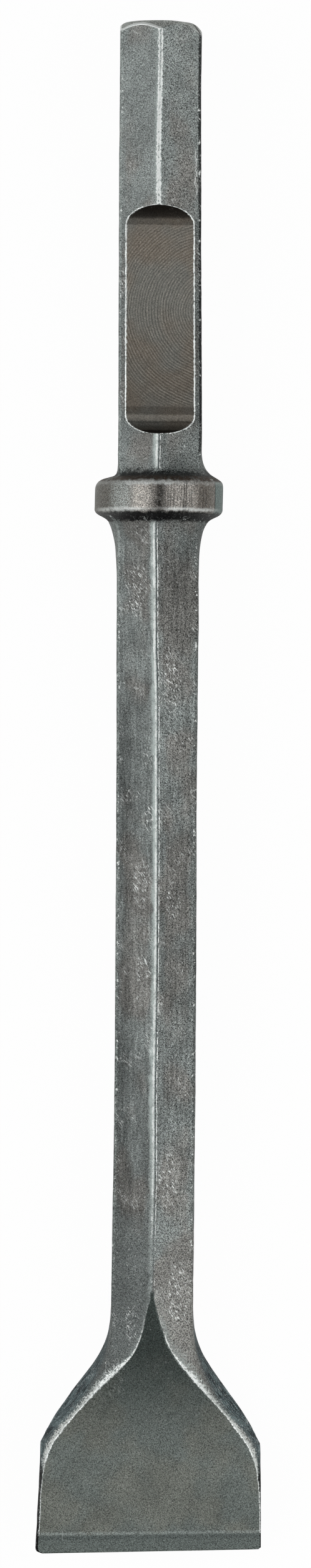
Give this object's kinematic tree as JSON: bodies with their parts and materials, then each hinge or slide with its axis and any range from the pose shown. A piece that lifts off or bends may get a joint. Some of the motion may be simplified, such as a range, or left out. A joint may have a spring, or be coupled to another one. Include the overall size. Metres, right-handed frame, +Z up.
{
  "type": "hex shank spade chisel",
  "caption": "One-piece forged steel breaker chisel: hexagonal shank with a retainer notch, round collar, hexagonal shaft and a flared spade blade with a ground cutting edge.",
  "frame": {"origin": "middle of the bounding box, on the floor that the chisel lies on", "axes": "+Y from the cutting edge towards the striking face, +Z up, the notched front of the shank up. The chisel lies as it settles: on its collar, on the end of its back ridge and on the right-hand edge of its blade, rolled about eleven degrees to that side"},
  "size_m": [0.079, 0.5384, 0.0456],
  "materials": {
    "forged_steel": "bare forged and ground, grey with worn bright edges"
  },
  "bodies": {
    "root": {"spade_chisel": "forged_steel"}
  },
  "joints": []
}
